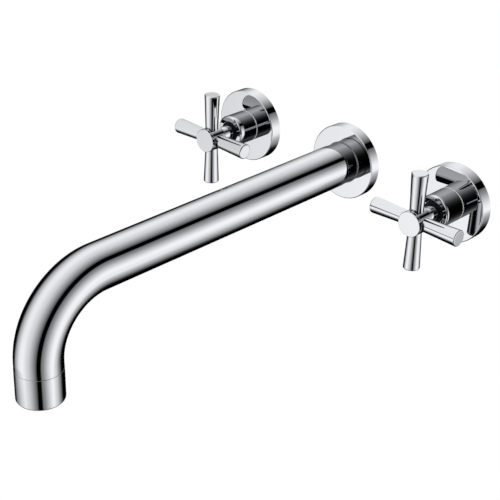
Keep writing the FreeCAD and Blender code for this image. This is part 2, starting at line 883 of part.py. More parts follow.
def spout_tube():
    """A round tube swept out of the wall and down, with a rounded back end."""
    body = doc.addObject("PartDesign::Body", "spout_tube")
    path = new_sketch(body, "YZ_Plane", "Path")
    bend_start = size.spout_reach - size.bend_radius
    reach, bend = size.spout_reach.value, size.bend_radius.value
    corners = [
        Vector(-size.tube_back.value, 0, 0),
        Vector(-bend_start.value, 0, 0),
        Vector(-reach, -bend, 0),
        Vector(-reach, -size.outlet_seam_drop.value, 0),
    ]
    circle = Part.Circle(Vector(-bend_start.value, -bend, 0), Vector(0, 0, 1), bend)
    quarter = FreeCAD.Units.Quantity("90 deg").getValueAs("rad").Value
    path.addGeometry(Part.LineSegment(corners[0], corners[1]), False)
    path.addGeometry(Part.ArcOfCircle(circle, quarter, quarter * 2), False)
    path.addGeometry(Part.LineSegment(corners[2], corners[3]), False)
    path.addConstraint(Sketcher.Constraint("Coincident", 0, 2, 1, 1))
    path.addConstraint(Sketcher.Constraint("Coincident", 1, 2, 2, 1))
    hold(path, "X", 0, 1, -size.tube_back)
    hold(path, "Y", 0, 1, 0)
    hold(path, "X", 0, 2, -bend_start)
    hold(path, "Y", 0, 2, 0)
    hold(path, "X", 1, 3, -bend_start)
    hold(path, "X", 2, 1, -size.spout_reach)
    hold(path, "Y", 2, 1, -size.bend_radius)
    hold(path, "X", 2, 2, -size.spout_reach)
    hold(path, "Y", 2, 2, -size.outlet_seam_drop)

    section = new_sketch(body, "XZ_Plane", "Section", size.tube_back)
    draw_circle(section, tube_radius)
    draw_circle(section, tube_bore)
    doc.recompute()
    sweep = body.newObject("PartDesign::AdditivePipe", "Sweep")
    sweep.Profile = section
    sweep.Spine = (path, [])
    doc.recompute()
    names = []
    for index, edge in enumerate(sweep.Shape.Edges, start=1):
        if isinstance(edge.Curve, Part.Circle) and abs(edge.Curve.Radius - tube_radius.value) < 1e-4:
            if abs(edge.Curve.Center.y + size.tube_back.value) < 1e-4:
                names.append(f"Edge{index}")
    fillet = body.newObject("PartDesign::Fillet", "BackRound")
    fillet.Base = (sweep, names)
    bind(fillet, "Radius", size.tube_round)
    doc.recompute()
    finish(body, "spout_tube", rotation=Rotation())


def spout_base():
    """The socket is brazed into the tube and slides over the nipple. Collar and trim ring cover it."""
    collar_front = size.tube_back - size.collar_seam
    back = size.collar_back
    collar_bore = tube_bore
    socket_radius = tube_bore - size.fit_gap
    start = (0, 0, size.grub_place)
    collar = ring("collar_blank", collar_bore, collar_radius, back, collar_front)
    hole = rod("collar_grub_hole", grub_hole, size.tube_dia, start, "-Y")
    finish(cut("spout_collar", collar, [hole]), "spout_collar")

    nipple_bore = thread_radius + size.running_gap
    outline = [
        (nipple_bore, back),
        (socket_radius, back),
        (socket_radius, size.socket_front),
        (size.socket_bore_dia / 2, size.socket_front),
        (size.socket_bore_dia / 2, size.socket_stop),
        (nipple_bore, size.socket_stop),
    ]
    socket = turned("socket_blank", outline)
    hole = rod("socket_grub_hole", grub_hole, size.tube_dia, start, "-Y")
    finish(cut("spout_socket", socket, [hole]), "spout_socket")

    tip = thread_radius + size.running_gap
    end = tip + size.grub_length
    grub = turned(
        "grub_blank", [(0, tip), (size.grub_dia / 2, tip), (size.grub_dia / 2, end), (0, end)]
    )
    key = hexagon(
        "grub_key",
        size.grub_socket_flats,
        size.grub_socket_depth + size.overcut,
        end - size.grub_socket_depth,
    )
    place = (0, -size.grub_place, 0)
    finish(cut("spout_set_screw", grub, [key]), "spout_set_screw", place, turns["-Z"])

    middle = collar_radius + size.fit_gap + size.flange_seal_section / 2
    plate_back = size.spout_flange_depth - size.flange_plate
    along = plate_back - size.fit_gap - size.flange_seal_section / 2
    seal = torus("flange_seal", middle, size.flange_seal_section, along)
    finish(group("spout_flange_oring", [seal]), "spout_flange_oring")

    trim_back = size.spout_flange_depth + size.lapped_gap
    trim_front = trim_back + size.trim_thickness
    inner = collar_radius + size.fit_gap
    outer = collar_radius + size.trim_width
    trim = ring("spout_trim_ring", inner, outer, trim_back, trim_front)
    finish(trim, "spout_trim_ring")


def spout_nipple():
    """The nipple brings water from the tee to the spout and seals with two O-rings."""
    bore = size.nipple_bore_dia / 2
    socket_bore = thread_radius + size.running_gap
    middle, floor = shaft_seal(socket_bore, size.nipple_seal_section)
    half = size.nipple_seal_section / 2 + size.seal_groove_play
    places = seal_places(size.nipple_seal_back, size.nipple_seal_pitch)
    back = -nipple_depth()
    outline = [(bore, back), (thread_radius, back)]
    for along in places:
        outline += groove(thread_radius, floor, along - half, along + half)
    outline += [(thread_radius, size.nipple_front), (bore, size.nipple_front)]
    finish(turned("spout_nipple", outline), "spout_nipple")
    seals = [
        torus(f"nipple_seal_{index}", middle, size.nipple_seal_section, along)
        for index, along in enumerate(places)
    ]
    finish(group("nipple_orings", seals), "nipple_orings")


def nipple_depth():
    """The nipple stops just in front of the crossover tubes' bore."""
    return size.outlet_depth - crossover_bore - size.tube_socket_depth / 4


def spout_tee():
    """The tee joins both crossover tubes and feeds the nipple."""
    back = -size.tee_back_depth
    front = -size.tee_front_depth
    radius = size.tee_dia / 2
    barrel = turned("tee_barrel", [(0, back), (radius, back), (radius, front), (0, front)])
    left = (-size.tee_reach, 0, -size.outlet_depth)
    run = rod("tee_run", size.stub_dia / 2, size.tee_reach * 2, left, "X")
    floor = back + size.tee_back_wall
    nipple_back = -nipple_depth()
    nipple_bore = size.nipple_bore_dia / 2
    hollow = turned(
        "tee_hollow",
        [
            (0, floor),
            (nipple_bore, floor),
            (nipple_bore, nipple_back),
            (thread_hole, nipple_back),
            (thread_hole, front + size.overcut),
            (0, front + size.overcut),
        ],
    )
    far = size.tee_reach + size.overcut
    start = (-far, 0, -size.outlet_depth)
    through = rod("tee_through", crossover_bore, far * 2, start, "X")
    near = size.tee_reach - size.tee_socket_depth
    length = size.tee_socket_depth + size.overcut
    right = rod("tee_right", crossover_socket, length, (near, 0, -size.outlet_depth), "X")
    left = rod("tee_left", crossover_socket, length, (-near, 0, -size.outlet_depth), "-X")
    solid = joined("tee_solid", [barrel, run])
    finish(cut("spout_tee", solid, [hollow, through, right, left]), "spout_tee")


def outlet_pieces():
    """The aerator's housing ends the spout and holds the washer, the mesh and the insert."""
    place = (0, -size.spout_reach, 0)
    upright = turns["Z"]
    seam = -size.outlet_seam_drop - size.aerator_seam
    top = -size.outlet_seam_drop + size.aerator_spigot
    bottom = -size.outlet_drop
    outer = size.aerator_dia / 2
    bore = size.aerator_bore_dia / 2
    floor = bottom + size.aerator_recess_depth
    outline = [
        (bore, top),
        (tube_bore - size.fit_gap, top),
        (tube_bore - size.fit_gap, seam),
        (outer, seam),
        (outer, bottom, size.aerator_round),
        (recess_radius, bottom),
        (recess_radius, floor),
        (bore, floor),
    ]
    finish(turned("aerator_housing", outline), "aerator_housing", place, upright)

    washer_bottom = floor - size.aerator_washer_thickness
    washer_inner = insert_radius - size.aerator_washer_width
    washer = ring("aerator_washer", washer_inner, insert_radius, washer_bottom, floor)
    finish(washer, "aerator_washer", place, upright)

    mesh_bottom = washer_bottom - size.mesh_thickness
    mesh = turned(
        "aerator_mesh",
        [
            (0, mesh_bottom),
            (insert_radius, mesh_bottom),
            (insert_radius, washer_bottom),
            (0, washer_bottom),
        ],
    )
    hole_rings(mesh, size.mesh_hole_dia / 2, washer_bottom, size.mesh_thickness, 3, 9)
    finish(mesh, "aerator_mesh", place, upright)

    insert_bottom = mesh_bottom - size.insert_height
    plate_top = insert_bottom + size.insert_plate
    inner = insert_radius - size.insert_wall
    insert = turned(
        "aerator_insert",
        [
            (0, insert_bottom),
            (insert_radius, insert_bottom),
            (insert_radius, mesh_bottom),
            (inner, mesh_bottom),
            (inner, plate_top),
            (0, plate_top),
        ],
    )
    hole_rings(insert, size.insert_hole_dia / 2, plate_top, size.insert_plate, 3, 6)
    finish(insert, "aerator_insert", place, upright)


def hole_rings(body, radius, top, depth, rings, per_ring):
    """A hole in the middle and rings of holes around it, each ring with more holes than the last."""
    for index in range(rings + 1):
        before = body.Tip
        sketch = new_sketch(body, "XY_Plane", f"HoleSketch{index}", top)
        draw_circle(sketch, radius, size.hole_ring_pitch * index)
        hole = body.newObject("PartDesign::Pocket", f"Hole{index}")
        hole.Profile = sketch
        bind(hole, "Length", depth + size.lapped_gap)
        doc.recompute()
        last = hole
        if index:
            last = body.newObject("PartDesign::PolarPattern", f"HoleRing{index}")
            last.Originals = [hole]
            last.Axis = (plane_of(body, "Z_Axis"), [""])
            last.Angle = 360
            last.Occurrences = per_ring * index
            body.Tip = last
            doc.recompute()
        if last.Shape.Volume >= before.Shape.Volume:
            raise RuntimeError(f"hole ring {index} of {body.Label} cut nothing")


def back_plate():
    """A steel plate ties both valves together and is screwed to the framing of the wall."""
    front = size.valve_back_depth
    corner = (-size.plate_length / 2, front, -size.plate_height / 2)
    blank = block("plate_blank", size.plate_length, size.plate_thickness, size.plate_height, corner)
    start_y = front - size.overcut
    through = size.plate_thickness + size.overcut * 2
    holes = []
    for x_way in (1, -1):
        for z_way in (1, -1):
            corner_hole = (
                (size.plate_length / 2 - size.plate_hole_inset) * x_way,
                start_y,
                size.plate_hole_spacing_z / 2 * z_way,
            )
            number = len(holes)
            holes.append(rod(f"plate_hole_{number}", size.plate_hole_dia / 2, through, corner_hole, "Y"))
    screws = []
    sinks = []
    for x_way in (1, -1):
        for z_way in (1, -1):
            axis = (half_spacing * x_way, size.plate_screw_place * z_way)
            screws.append(plate_screw(f"plate_screw_{len(screws)}", axis, size.plate_screw_dia / 2, 0))
            sink_radius = size.plate_screw_dia / 2 + size.fit_gap
            sinks.append(plate_screw(f"plate_sink_{len(sinks)}", axis, sink_radius, size.fit_gap))
    finish(cut("mounting_plate", blank, holes + sinks), "mounting_plate", rotation=Rotation())
    finish(group("plate_screws", screws), "plate_screws", rotation=Rotation())


def plate_screw(name, axis, radius, play):
    """A countersunk screw from behind, or the larger shape that makes room for it."""
    head = size.plate_screw_head_dia / 2 + play
    along = size.plate_screw_length
    outline = [
        (0, 0),
        (head, 0),
        (radius, size.plate_screw_head_height),
        (radius, along),
        (0, along),
    ]
    body = turned(name, outline)
    back = size.valve_back_depth + size.plate_thickness
    put(body, (axis[0], back, axis[1]), turns["-Y"])
    return body


def handle_side(side, way, inwards):
    across = half_spacing * way
    hole = thread_radius + size.end_gap
    wall_flange(side + "_flange", size.handle_flange_depth, hole, across)
    handle_sleeve(side, across)
    handle_hub(side, across)
    for direction, angle in (("top", 0), ("right", 90), ("bottom", 180), ("left", 270)):
        handle_arm(side, across, direction, angle)
    index_cap(side, across)
    handle_screw(side, across)
    spindle(side, across)
    ceramic_discs(side, across)
    cartridge_rings(side, across)
    cartridge_bonnet(side, across)
    valve_body(side, across, inwards)
    crossover_tube(side, across, inwards)


def check_and_export():
    doc.recompute()
    for item in doc.Objects:
        if "Invalid" in item.State or "Error" in item.State:
            raise RuntimeError(f"{item.Label} could not be made")
    for piece in pieces:
        if piece.Shape.isNull() or not piece.Shape.isValid() or not piece.Shape.Solids:
            raise RuntimeError(f"{piece.Label} has no valid solid")
    os.makedirs("parts", exist_ok=True)
    for piece in pieces:
        piece.Shape.exportStep(f"parts/{piece.Label}.step")


handle_side("hot", -1, "X")
handle_side("cold", 1, "-X")
wall_flange("spout_flange", size.spout_flange_depth, spout_flange_hole, 0)
spout_base()
spout_nipple()
spout_tube()
spout_tee()
outlet_pieces()
back_plate()
check_and_export()
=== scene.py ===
import bmesh
import bpy
import json
import math
from mathutils import Matrix, Vector


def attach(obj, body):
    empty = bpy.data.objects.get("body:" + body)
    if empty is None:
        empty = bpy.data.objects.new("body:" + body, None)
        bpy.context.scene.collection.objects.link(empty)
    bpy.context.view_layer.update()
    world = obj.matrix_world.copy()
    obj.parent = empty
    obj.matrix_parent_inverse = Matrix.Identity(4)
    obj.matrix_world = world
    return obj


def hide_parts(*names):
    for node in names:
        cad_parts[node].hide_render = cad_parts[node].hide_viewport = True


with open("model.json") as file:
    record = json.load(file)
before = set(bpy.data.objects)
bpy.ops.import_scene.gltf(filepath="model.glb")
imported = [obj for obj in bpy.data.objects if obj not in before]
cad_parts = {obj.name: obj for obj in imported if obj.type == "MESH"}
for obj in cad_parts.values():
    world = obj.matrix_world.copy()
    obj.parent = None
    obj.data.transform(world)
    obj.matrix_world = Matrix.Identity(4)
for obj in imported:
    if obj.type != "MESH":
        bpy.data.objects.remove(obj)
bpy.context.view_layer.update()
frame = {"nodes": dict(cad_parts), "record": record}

scene = bpy.context.scene
mm = 0.001
handles = {"hot": -101.6, "cold": 101.6}  # x of each handle's axis
spoutReach = 303  # from the wall to the outlet's axis
shownNodes = set()  # CAD nodes that a piece stands for


# nodes

def addNode(tree, kind, inputs, **settings):  # an input is joined to a socket or set to a value
    if not kind.startswith(("Shader", "Function")):
        kind = "GeometryNode" + kind
    node = tree.nodes.new(kind)
    for key, value in settings.items():
        setattr(node, key, value)
    for label, source in inputs.items():
        if hasattr(source, "node"):
            tree.links.new(source, node.inputs[label])
        else:
            node.inputs[label].default_value = source
    return node


def calc(tree, operation, *values):
    node = addNode(tree, "ShaderNodeMath", dict(enumerate(values)), operation=operation)
    return node.outputs["Value"]


# shader groups

def shaderGroup(name, inputs, outputs):
    group = bpy.data.node_groups.new(name, "ShaderNodeTree")
    for label, value in inputs.items():
        socket = group.interface.new_socket(label, in_out="INPUT", socket_type="NodeSocketFloat")
        socket.default_value = value
    for label in outputs:
        group.interface.new_socket(label, in_out="OUTPUT", socket_type="NodeSocketFloat")
    return group, group.nodes.new("NodeGroupInput"), group.nodes.new("NodeGroupOutput")


def wearGroup():  # slow change between two values
    inputs = {"Scale": 60, "Low": 0.02, "High": 0.05}
    group, start, end = shaderGroup("surfaceWear", inputs, ["Value"])
    coords = addNode(group, "ShaderNodeTexCoord", {})
    noise = addNode(group, "ShaderNodeTexNoise", {
        "Vector": coords.outputs["Object"], "Scale": start.outputs["Scale"], "Detail": 5})
    spread = addNode(group, "ShaderNodeMapRange", {
        "Value": noise.outputs["Fac"], "From Min": 0.3, "From Max": 0.7,
        "To Min": start.outputs["Low"], "To Max": start.outputs["High"]})
    group.links.new(spread.outputs["Result"], end.inputs["Value"])
    return group


def grainGroup():  # fine marks round an axis that comes out of the wall
    group, start, end = shaderGroup("turnedGrain", {"Marks": 30, "Across": 40}, ["Height"])
    coords = addNode(group, "ShaderNodeTexCoord", {})
    marks, across = start.outputs["Marks"], start.outputs["Across"]
    factors = addNode(group, "ShaderNodeCombineXYZ", {"X": across, "Y": marks, "Z": across})
    stretch = addNode(group, "ShaderNodeVectorMath", {
        0: coords.outputs["Object"], 1: factors.outputs["Vector"]}, operation="MULTIPLY")
    noise = addNode(group, "ShaderNodeTexNoise", {
        "Vector": stretch.outputs["Vector"], "Scale": 8, "Detail": 4})
    group.links.new(noise.outputs["Fac"], end.inputs["Height"])
    return group


def cellGroup():  # cells with a tone each, and the height of their middles
    group, start, end = shaderGroup("cells", {"Scale": 300}, ["Tone", "Height"])
    coords = addNode(group, "ShaderNodeTexCoord", {})
    cell = addNode(group, "ShaderNodeTexVoronoi", {
        "Vector": coords.outputs["Object"], "Scale": start.outputs["Scale"]})
    tone = addNode(group, "ShaderNodeSeparateColor", {"Color": cell.outputs["Color"]})
    group.links.new(tone.outputs["Red"], end.inputs["Tone"])
    group.links.new(cell.outputs["Distance"], end.inputs["Height"])
    return group


wear, grain, cells = wearGroup(), grainGroup(), cellGroup()


# materials

grainDepth, cellDepth = 0.0001, 0.0002  # bump distance in metres
wearPerCell = 0.25  # wear is coarser than the cells


def newMaterial(name, look):
    material = bpy.data.materials.new(name)
    material.use_nodes = True
    shader = material.node_tree.nodes["Principled BSDF"]
    shader.inputs["Metallic"].default_value = look.get("metallic", 0)
    shader.inputs["Specular IOR Level"].default_value = look.get("specular", 0.5)
    return material, material.node_tree, shader


def addWear(tree, scale, low, high):
    values = {"Scale": scale, "Low": low, "High": high}
    return addNode(tree, "ShaderNodeGroup", values, node_tree=wear).outputs["Value"]


def twoTone(tree, factor, light, dark):
    mix = addNode(tree, "ShaderNodeMix", {
        "Factor": factor, "A": (*light, 1), "B": (*dark, 1)}, data_type="RGBA")
    return mix.outputs["Result"]


def addBump(tree, shader, height, strength, distance):
    bump = addNode(tree, "ShaderNodeBump", {
        "Strength": strength, "Distance": distance, "Height": height})
    tree.links.new(bump.outputs["Normal"], shader.inputs["Normal"])


def wornMetal(name, look):
    material, tree, shader = newMaterial(name, look)
    rough = addWear(tree, look["wearScale"], *look["rough"])
    tone = addWear(tree, look["toneScale"], 0, 1)
    color = twoTone(tree, tone, look["light"], look["dark"])
    tree.links.new(rough, shader.inputs["Roughness"])
    tree.links.new(color, shader.inputs["Base Color"])
    if "marks" in look:
        marks = addNode(tree, "ShaderNodeGroup", {
            "Marks": look["marks"], "Across": look["across"]}, node_tree=grain)
        addBump(tree, shader, marks.outputs["Height"], look["bump"], grainDepth)
    return material


def cellSurface(name, look):
    material, tree, shader = newMaterial(name, look)
    pattern = addNode(tree, "ShaderNodeGroup", {"Scale": look["scale"]}, node_tree=cells)
    rough = addWear(tree, look["scale"] * wearPerCell, *look["rough"])
    color = twoTone(tree, pattern.outputs["Tone"], look["light"], look["dark"])
    tree.links.new(color, shader.inputs["Base Color"])
    tree.links.new(rough, shader.inputs["Roughness"])
    addBump(tree, shader, pattern.outputs["Height"], look["bump"], cellDepth)
    return material


chromeLook = {"metallic": 1, "light": (0.94, 0.952, 0.985), "dark": (0.92, 0.932, 0.965),
              "rough": (0.012, 0.03), "wearScale": 45, "toneScale": 18}
brassLook = {"metallic": 1, "light": (0.78, 0.58, 0.27), "dark": (0.57, 0.38, 0.15),
             "rough": (0.2, 0.38), "wearScale": 70, "toneScale": 30,
             "marks": 90, "across": 4, "bump": 0.3}
copperLook = {"metallic": 1, "light": (0.8, 0.42, 0.27), "dark": (0.52, 0.22, 0.12),
              "rough": (0.16, 0.34), "wearScale": 80, "toneScale": 24,
              "marks": 6, "across": 20, "bump": 0.15}
stainlessLook = {"metallic": 1, "light": (0.66, 0.66, 0.67), "dark": (0.52, 0.52, 0.53),
                 "rough": (0.18, 0.32), "wearScale": 90, "toneScale": 40,
                 "marks": 80, "across": 10, "bump": 0.2}
solderLook = {"metallic": 1, "light": (0.68, 0.69, 0.7), "dark": (0.46, 0.47, 0.48),
              "rough": (0.2, 0.45), "wearScale": 200, "toneScale": 120,
              "marks": 25, "across": 25, "bump": 0.5}
zincLook = {"metallic": 1, "light": (0.7, 0.72, 0.74), "dark": (0.5, 0.52, 0.54),
            "rough": (0.3, 0.48), "scale": 170, "bump": 0.08}
rubberLook = {"specular": 0.2, "light": (0.01, 0.01, 0.011), "dark": (0.006, 0.006, 0.007),
              "rough": (0.42, 0.6), "scale": 1500, "bump": 0.2}
foamLook = {"light": (0.14, 0.14, 0.145), "dark": (0.08, 0.08, 0.085),
            "rough": (0.8, 0.95), "scale": 900, "bump": 0.7}
ceramicLook = {"light": (0.86, 0.85, 0.82), "dark": (0.82, 0.81, 0.77),
               "rough": (0.1, 0.18), "scale": 800, "bump": 0.02}
plasticLook = {"light": (0.8, 0.8, 0.79), "dark": (0.77, 0.77, 0.76),
               "rough": (0.32, 0.42), "scale": 600, "bump": 0.05}
trimLook = {"light": (0.26, 0.26, 0.27), "dark": (0.22, 0.22, 0.23),
            "rough": (0.3, 0.42), "scale": 600, "bump": 0.05}

finishes = {
    "chrome": wornMetal("chrome", chromeLook),
    "brass": wornMetal("brass", brassLook),
    "copper": wornMetal("copper", copperLook),
    "stainless": wornMetal("stainless", stainlessLook),
    "solder": wornMetal("solder", solderLook),
    "zinc_plate": cellSurface("zinc_plate", zincLook),
    "rubber": cellSurface("rubber", rubberLook),
    "foam": cellSurface("foam", foamLook),
    "ceramic": cellSurface("ceramic", ceramicLook),
    "plastic": cellSurface("plastic", plasticLook),
    "trim": cellSurface("trim", trimLook),
}
print("materials ready:", len(finishes))


# turned pieces

turning = {"segments": 192, "roundSteps": 10, "onAxis": 1e-6}


def roundCorner(before, here, after, radius):
    toBack = (before - here).normalized()
    toNext = (after - here).normalized()
    half = toBack.angle(toNext) / 2
    centre = here + (toBack + toNext).normalized() * (radius / math.sin(half))
    first = here + toBack * (radius / math.tan(half)) - centre
    way = 1 if toNext.cross(toBack) > 0 else -1  # 1 bulges out, -1 is a hollow
    steps = turning["roundSteps"]
    arc = []
    for step in range(steps + 1):
        spoke = Matrix.Rotation(way * (math.pi - 2 * half) * step / steps, 2) @ first
        arc.append((centre + spoke, spoke.normalized() * way))
    return arc


def outlinePoints(corners):
    spots = [Vector(corner[:2]) for corner in corners]
    points = []
    for i, corner in enumerate(corners):
        if len(corner) == 3:
            after = spots[(i + 1) % len(spots)]
            points += roundCorner(spots[i - 1], spots[i], after, corner[2])
        else:
            points.append((spots[i], None))
    return points


def circlePoints(count):
    angles = [2 * math.pi * k / count for k in range(count)]
    return [(math.cos(angle), math.sin(angle)) for angle in angles]


# corners run anticlockwise, each one radius, distance along the axis and maybe a rounding
def turnedMesh(name, corners, place, segments=turning["segments"]):
    points = outlinePoints(corners)
    onAxis = [spot.x < turning["onAxis"] for spot, normal in points]
    circle = circlePoints(segments)
    turn = place.to_3x3()
    verts, faces, normals, rings = [], [], [], []
    for (spot, normal), single in zip(points, onAxis):
        if single:
            rings.append([len(verts)] * segments)
            verts.append(place @ Vector((0, 0, spot.y * mm)))
        else:
            rings.append(range(len(verts), len(verts) + segments))
            verts += [place @ Vector((spot.x * c * mm, spot.x * s * mm, spot.y * mm))
                      for c, s in circle]
    for i in range(len(points)):
        j = (i + 1) % len(points)
        if onAxis[i] and onAxis[j]:
            continue
        along = (points[j][0] - points[i][0]).normalized()
        flat = Vector((along.y, -along.x))
        for k in range(segments):
            n = (k + 1) % segments
            face = []
            for ring, step in ((i, k), (i, n), (j, n), (j, k)):
                vert = rings[ring][step]
                if vert in face:
                    continue
                face.append(vert)
                c, s = circle[step]
                lean = points[ring][1] or flat
                normals.append(turn @ Vector((lean.x * c, lean.x * s, lean.y)))
            faces.append(face)
    mesh = bpy.data.meshes.new(name)
    mesh.from_pydata(verts, [], faces)
    mesh.shade_smooth()
    mesh.normals_split_custom_set(normals)
    return mesh


def outOfWall(x):
    return Matrix.Translation((x * mm, 0, 0)) @ Matrix.Rotation(math.radians(90), 4, "X")


def upright(y):
    return Matrix.Translation((0, y * mm, 0))


def addPiece(mesh, slot, body, nodes, finish=None):
    piece = bpy.data.objects.new(mesh.name, mesh)
    scene.collection.objects.link(piece)
    mesh.materials.clear()
    mesh.materials.append(finishes[finish or slot])
    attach(piece, body)
    if nodes:
        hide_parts(*nodes)
        shownNodes.update(nodes)
    return piece


def turnedPiece(name, corners, place, slot, body, node, finish=None):
    addPiece(turnedMesh(name, corners, place), slot, body, [node], finish)


flange = {"radius": 29.25, "rim": 2, "plate": 2.2, "round": 0.8, "step": 24.25, "gasket": 2,
          "chamfer": 0.3, "handle": {"depth": 9.5, "hole": 10.68},
          "spout": {"depth": 8.5, "hole": 16.2}}


def flangeCorners(depth, hole):
    radius, step, chamfer = flange["radius"], flange["step"], flange["chamfer"]
    inner = radius - flange["rim"]
    under = depth - flange["plate"]
    return [(radius, 0), (radius, depth, flange["round"]), (hole + chamfer, depth),
            (hole, depth - chamfer), (hole, under), (step, under),
            (step, flange["gasket"]), (inner, flange["gasket"]), (inner, 0)]


sleeve = {"radius": 12.8, "back": 9.94, "front": 28.4, "lip": 0.5, "hole": 8.4, "bore": 10.53,
          "round": 1.4, "backRound": 0.4, "mouthRound": 0.25}
sleeveLip = sleeve["front"] - sleeve["lip"]
sleeveCorners = [(sleeve["bore"], sleeve["back"]),
                 (sleeve["radius"], sleeve["back"], sleeve["backRound"]),
                 (sleeve["radius"], sleeve["front"], sleeve["round"]),
                 (sleeve["hole"], sleeve["front"], sleeve["mouthRound"]),
                 (sleeve["hole"], sleeveLip), (sleeve["bore"], sleeveLip)]

washer = {"inner": 10.53, "outer": 12.9, "back": 9.52, "front": 9.92,
          "backEdge": 0.1, "frontEdge": 0.15}
washerCorners = [(washer["inner"], washer["back"]),
                 (washer["outer"], washer["back"], washer["backEdge"]),
                 (washer["outer"], washer["front"], washer["frontEdge"]),
                 (washer["inner"], washer["front"])]

hub = {"radius": 9.35, "back": 41.5, "front": 54.4, "round": 1.2, "edge": 0.25,
       "neck": 6, "neckBack": 24, "socket": 4.5, "socketDepth": 3}
hubFloor = hub["neckBack"] + hub["socketDepth"]
hubCorners = [(0, hubFloor), (hub["socket"], hubFloor), (hub["socket"], hub["neckBack"]),
              (hub["neck"], hub["neckBack"]), (hub["neck"], hub["back"], hub["round"]),
              (hub["radius"], hub["back"], hub["round"]),
              (hub["radius"], hub["front"], hub["edge"]), (0, hub["front"])]

cap = {"radius": 9.35, "back": 54.6, "front": 56.8, "round": 0.4, "edge": 0.2}
capCorners = [(0, cap["back"]), (cap["radius"], cap["back"], cap["edge"]),
              (cap["radius"], cap["front"], cap["round"]), (0, cap["front"])]

for side, x in handles.items():
    place, handle = outOfWall(x), side + "_handle"
    for name, corners, slot, body, node in (
            ("Flange", flangeCorners(**flange["handle"]), "chrome", "wall_set", "_flange"),
            ("Sleeve", sleeveCorners, "chrome", "wall_set", "_sleeve"),
            ("Washer", washerCorners, "plastic", "wall_set", "_sleeve_washer"),
            ("Hub", hubCorners, "chrome", handle, "_handle_hub"),
            ("Cap", capCorners, "chrome", handle, "_index_cap")):
        turnedPiece(side + name, corners, place, slot, body, side + node)

collar = {"radius": 15.9, "bore": 14.75, "back": 1.5, "front": 19.5, "edge": 0.2}
collarCorners = [(collar["bore"], collar["back"]), (collar["radius"], collar["back"]),
                 (collar["radius"], collar["front"], collar["edge"]),
                 (collar["bore"], collar["front"])]
turnedPiece("spoutFlange", flangeCorners(**flange["spout"]), outOfWall(0),
            "chrome", "wall_set", "spout_flange")
turnedPiece("spoutCollar", collarCorners, outOfWall(0), "chrome", "wall_set", "spout_collar")

trim = {"inner": 15.95, "outer": 16.45, "back": 8.52, "front": 8.92,
        "backEdge": 0.1, "frontEdge": 0.15, "innerEdge": 0.1}
trimCorners = [(trim["inner"], trim["back"]), (trim["outer"], trim["back"], trim["backEdge"]),
               (trim["outer"], trim["front"], trim["frontEdge"]),
               (trim["inner"], trim["front"], trim["innerEdge"])]
turnedPiece("spoutTrim", trimCorners, outOfWall(0),
            "plastic", "wall_set", "spout_trim_ring", "trim")

outlet = {"radius": 16.4, "seam": -54.45, "bottom": -77.4, "round": 1.2, "mouthRound": 0.3,
          "spigot": 14.7, "spigotTop": -50.3, "bore": 10, "recess": 12, "floor": -60, "edge": 0.15}
outletCorners = [(outlet["recess"], outlet["bottom"], outlet["mouthRound"]),
                 (outlet["radius"], outlet["bottom"], outlet["round"]),
                 (outlet["radius"], outlet["seam"], outlet["edge"]),
                 (outlet["spigot"], outlet["seam"]), (outlet["spigot"], outlet["spigotTop"]),
                 (outlet["bore"], outlet["spigotTop"]), (outlet["bore"], outlet["floor"]),
                 (outlet["recess"], outlet["floor"])]
turnedPiece("outletHousing", outletCorners, upright(-spoutReach),
            "chrome", "wall_set", "aerator_housing")
print("turned pieces ready:", len(bpy.data.meshes))


# geometry trees

def geometryTree(name, inputs):
    tree = bpy.data.node_groups.new(name, "GeometryNodeTree")
    tree.interface.new_socket("Geometry", in_out="INPUT", socket_type="NodeSocketGeometry")
    for label, kind in inputs.items():
        tree.interface.new_socket(label, in_out="INPUT", socket_type="NodeSocket" + kind)
    tree.interface.new_socket("Geometry", in_out="OUTPUT", socket_type="NodeSocketGeometry")
    return tree, tree.nodes.new("NodeGroupInput"), tree.nodes.new("NodeGroupOutput")


def endTree(tree, geometry, material, end):
    real = addNode(tree, "RealizeInstances", {"Geometry": geometry})
    painted = addNode(tree, "SetMaterial", {
        "Geometry": real.outputs["Geometry"], "Material": material})
    tree.links.new(painted.outputs["Geometry"], end.inputs["Geometry"])


def runTree(name, mesh, tree, values):  # a plain mesh made by the tree
    base = bpy.data.objects.new(name, mesh)
    scene.collection.objects.link(base)
    modifier = base.modifiers.new(tree.name, "NODES")
    modifier.node_group = tree
    for item in tree.interface.items_tree:
        if item.in_out == "INPUT" and item.name in values:
            modifier[item.identifier] = values[item.name]
    ready = base.evaluated_get(bpy.context.evaluated_depsgraph_get())
    made = bpy.data.meshes.new_from_object(ready)
    bpy.data.objects.remove(base)
    made.name = name
    return made


